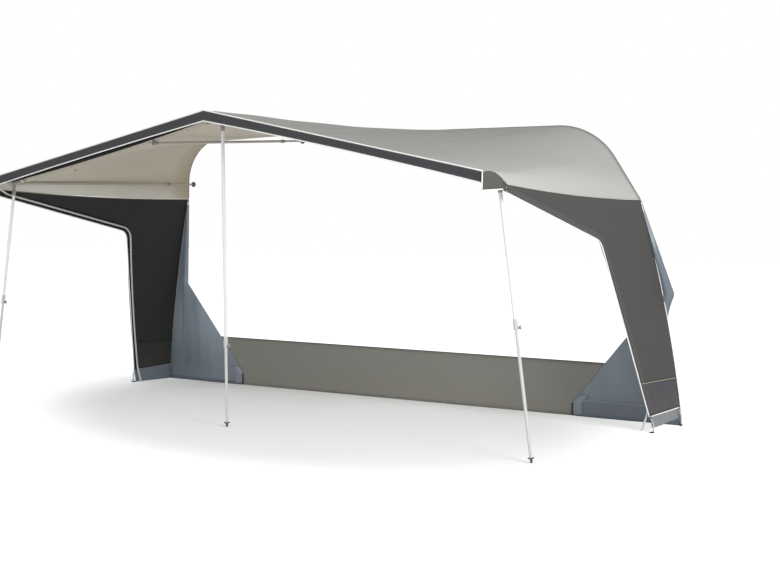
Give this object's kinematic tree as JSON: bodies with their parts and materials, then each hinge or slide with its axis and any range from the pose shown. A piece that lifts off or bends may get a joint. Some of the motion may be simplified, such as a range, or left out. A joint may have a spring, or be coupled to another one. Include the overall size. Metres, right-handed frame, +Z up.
{
  "type": "caravan porch awning",
  "caption": "Open-fronted porch awning for a caravan's side, with a gabled roof and hood, side wings, a skirt, telescopic uprights and roof poles.",
  "frame": {"origin": "middle of the footprint, on the ground", "axes": "+X to the right along the caravan's wall as seen from the front, +Y from the front towards the wall, +Z up"},
  "size_m": [5.3998, 2.506, 2.4088],
  "materials": {
    "roof_cloth": "light grey coated awning cloth",
    "valance_cloth": "dark grey coated awning cloth",
    "wing_cloth": "dark grey coated awning cloth",
    "foot_cloth": "dark grey vinyl-coated cloth",
    "edge_piping": "white welded piping",
    "rail_bead": "white keder bead",
    "mud_flap": "grey mud-flap vinyl",
    "draught_flap": "soft blue-grey vinyl",
    "skirt": "warm grey vinyl",
    "peg_loop": "grey rubber ring",
    "frame_tube": "white powder-coated steel tube",
    "wing_tube": "pale powder-coated steel tube",
    "pin": "plain steel pin",
    "joint_plastic": "pale moulded nylon",
    "clamp_plastic": "pale grey moulded nylon",
    "knob": "pale grey moulded knob",
    "foot": "black moulded foot",
    "pad": "pale moulded wall pad"
  },
  "bodies": {
    "awning": {"roof_left": "roof_cloth", "valance_left": "valance_cloth", "corner_cap_left": "valance_cloth", "wing_left": "wing_cloth", "wing_foot_left": "foot_cloth", "mud_flap_left": "mud_flap", "wing_piping_left": "edge_piping", "wing_tube_left": "wing_tube", "front_bar_left": "frame_tube", "corner_joint_left": "joint_plastic", "roof_right": "roof_cloth", "valance_right": "valance_cloth", "corner_cap_right": "valance_cloth", "wing_right": "wing_cloth", "wing_foot_right": "foot_cloth", "mud_flap_right": "mud_flap", "wing_piping_right": "edge_piping", "wing_tube_right": "wing_tube", "front_bar_right": "frame_tube", "corner_joint_right": "joint_plastic", "draught_flap_left": "draught_flap", "draught_flap_right": "draught_flap", "front_piping": "edge_piping", "rail_bead": "rail_bead", "caravan_skirt": "skirt", "skirt_bead": "rail_bead", "apex_joint": "joint_plastic", "canopy_bar": "frame_tube", "canopy_arms": "joint_plastic", "bar_clamps": "joint_plastic", "peg_loops": "peg_loop", "hinge_pins": "pin", "roof_pole_tubes": "frame_tube", "roof_pole_cuffs": "clamp_plastic"},
    "upright_left": {"upright_head_left": "joint_plastic", "upright_tube_left": "frame_tube", "upright_clamp_left": "clamp_plastic"},
    "leg_left": {"upright_leg_left": "frame_tube", "upright_foot_left": "foot"},
    "screw_left": {"upright_screw_left": "knob"},
    "upright_middle": {"upright_head_middle": "joint_plastic", "upright_tube_middle": "frame_tube", "upright_clamp_middle": "clamp_plastic"},
    "leg_middle": {"upright_leg_middle": "frame_tube", "upright_foot_middle": "foot"},
    "screw_middle": {"upright_screw_middle": "knob"},
    "upright_right": {"upright_head_right": "joint_plastic", "upright_tube_right": "frame_tube", "upright_clamp_right": "clamp_plastic"},
    "leg_right": {"upright_leg_right": "frame_tube", "upright_foot_right": "foot"},
    "screw_right": {"upright_screw_right": "knob"},
    "slider_left_end": {"roof_pole_slider_left_end": "frame_tube"},
    "pad_left_end": {"roof_pole_pad_left_end": "pad"},
    "slider_left_inner": {"roof_pole_slider_left_inner": "frame_tube"},
    "pad_left_inner": {"roof_pole_pad_left_inner": "pad"},
    "slider_right_inner": {"roof_pole_slider_right_inner": "frame_tube"},
    "pad_right_inner": {"roof_pole_pad_right_inner": "pad"},
    "slider_right_end": {"roof_pole_slider_right_end": "frame_tube"},
    "pad_right_end": {"roof_pole_pad_right_end": "pad"}
  },
  "joints": [
    {"name": "left_upright_swing", "type": "hinge", "parent": "awning", "child": "upright_left", "pos_m": [-2.42, -0.97295, 1.795], "axis": [0, -1, -0.0056], "range_deg": [-12, 50]},
    {"name": "left_leg_slide", "type": "slide", "parent": "upright_left", "child": "leg_left", "axis": [0.1446, -0.0055, 0.9895], "range_m": [0, 0.5]},
    {"name": "left_screw_turn", "type": "hinge", "parent": "upright_left", "child": "screw_left", "pos_m": [-2.55706, -0.9677, 0.85714], "axis": [0.9895, 0.0008, -0.1446], "range_deg": [0, 360]},
    {"name": "middle_upright_swing", "type": "hinge", "parent": "awning", "child": "upright_middle", "pos_m": [-0.143, -1.02395, 2.265], "axis": [0, -0.9993, -0.0385], "range_deg": [-25, 5]},
    {"name": "middle_leg_slide", "type": "slide", "parent": "upright_middle", "child": "leg_middle", "axis": [0, -0.0385, 0.9993], "range_m": [0, 0.5]},
    {"name": "middle_screw_turn", "type": "hinge", "parent": "upright_middle", "child": "screw_middle", "pos_m": [-0.143, -0.96059, 0.62201], "axis": [1, 0, 0], "range_deg": [0, 360]},
    {"name": "right_upright_swing", "type": "hinge", "parent": "awning", "child": "upright_right", "pos_m": [2.134, -0.97295, 1.795], "axis": [0, 1, 0.0056], "range_deg": [-12, 50]},
    {"name": "right_leg_slide", "type": "slide", "parent": "upright_right", "child": "leg_right", "axis": [-0.1446, -0.0055, 0.9895], "range_m": [0, 0.5]},
    {"name": "right_screw_turn", "type": "hinge", "parent": "upright_right", "child": "screw_right", "pos_m": [2.26813, -0.96781, 0.87714], "axis": [0.9895, -0.0008, 0.1446], "range_deg": [0, 360]},
    {"name": "left_end_pole_slide", "type": "slide", "parent": "awning", "child": "slider_left_end", "axis": [-0.0347, -0.9986, -0.0397], "range_m": [0, 0.25]},
    {"name": "left_end_pad_tilt", "type": "hinge", "parent": "slider_left_end", "child": "pad_left_end", "pos_m": [-2.333, 1.24005, 1.953], "axis": [1, 0, 0], "range_deg": [-12, 12]},
    {"name": "left_inner_pole_slide", "type": "slide", "parent": "awning", "child": "slider_left_inner", "axis": [0.0794, -0.9933, -0.0838], "range_m": [0, 0.25]},
    {"name": "left_inner_pad_tilt", "type": "hinge", "parent": "slider_left_inner", "child": "pad_left_inner", "pos_m": [-1.013, 1.24005, 2.348], "axis": [1, 0, 0], "range_deg": [-12, 12]},
    {"name": "right_inner_pole_slide", "type": "slide", "parent": "awning", "child": "slider_right_inner", "axis": [-0.0794, -0.9933, -0.0838], "range_m": [0, 0.25]},
    {"name": "right_inner_pad_tilt", "type": "hinge", "parent": "slider_right_inner", "child": "pad_right_inner", "pos_m": [0.727, 1.24005, 2.348], "axis": [1, 0, 0], "range_deg": [-12, 12]},
    {"name": "right_end_pole_slide", "type": "slide", "parent": "awning", "child": "slider_right_end", "axis": [-0.006, -0.9992, -0.0397], "range_m": [0, 0.25]},
    {"name": "right_end_pad_tilt", "type": "hinge", "parent": "slider_right_end", "child": "pad_right_end", "pos_m": [2.13733, 1.24005, 1.953], "axis": [1, 0, 0], "range_deg": [-12, 12]}
  ]
}
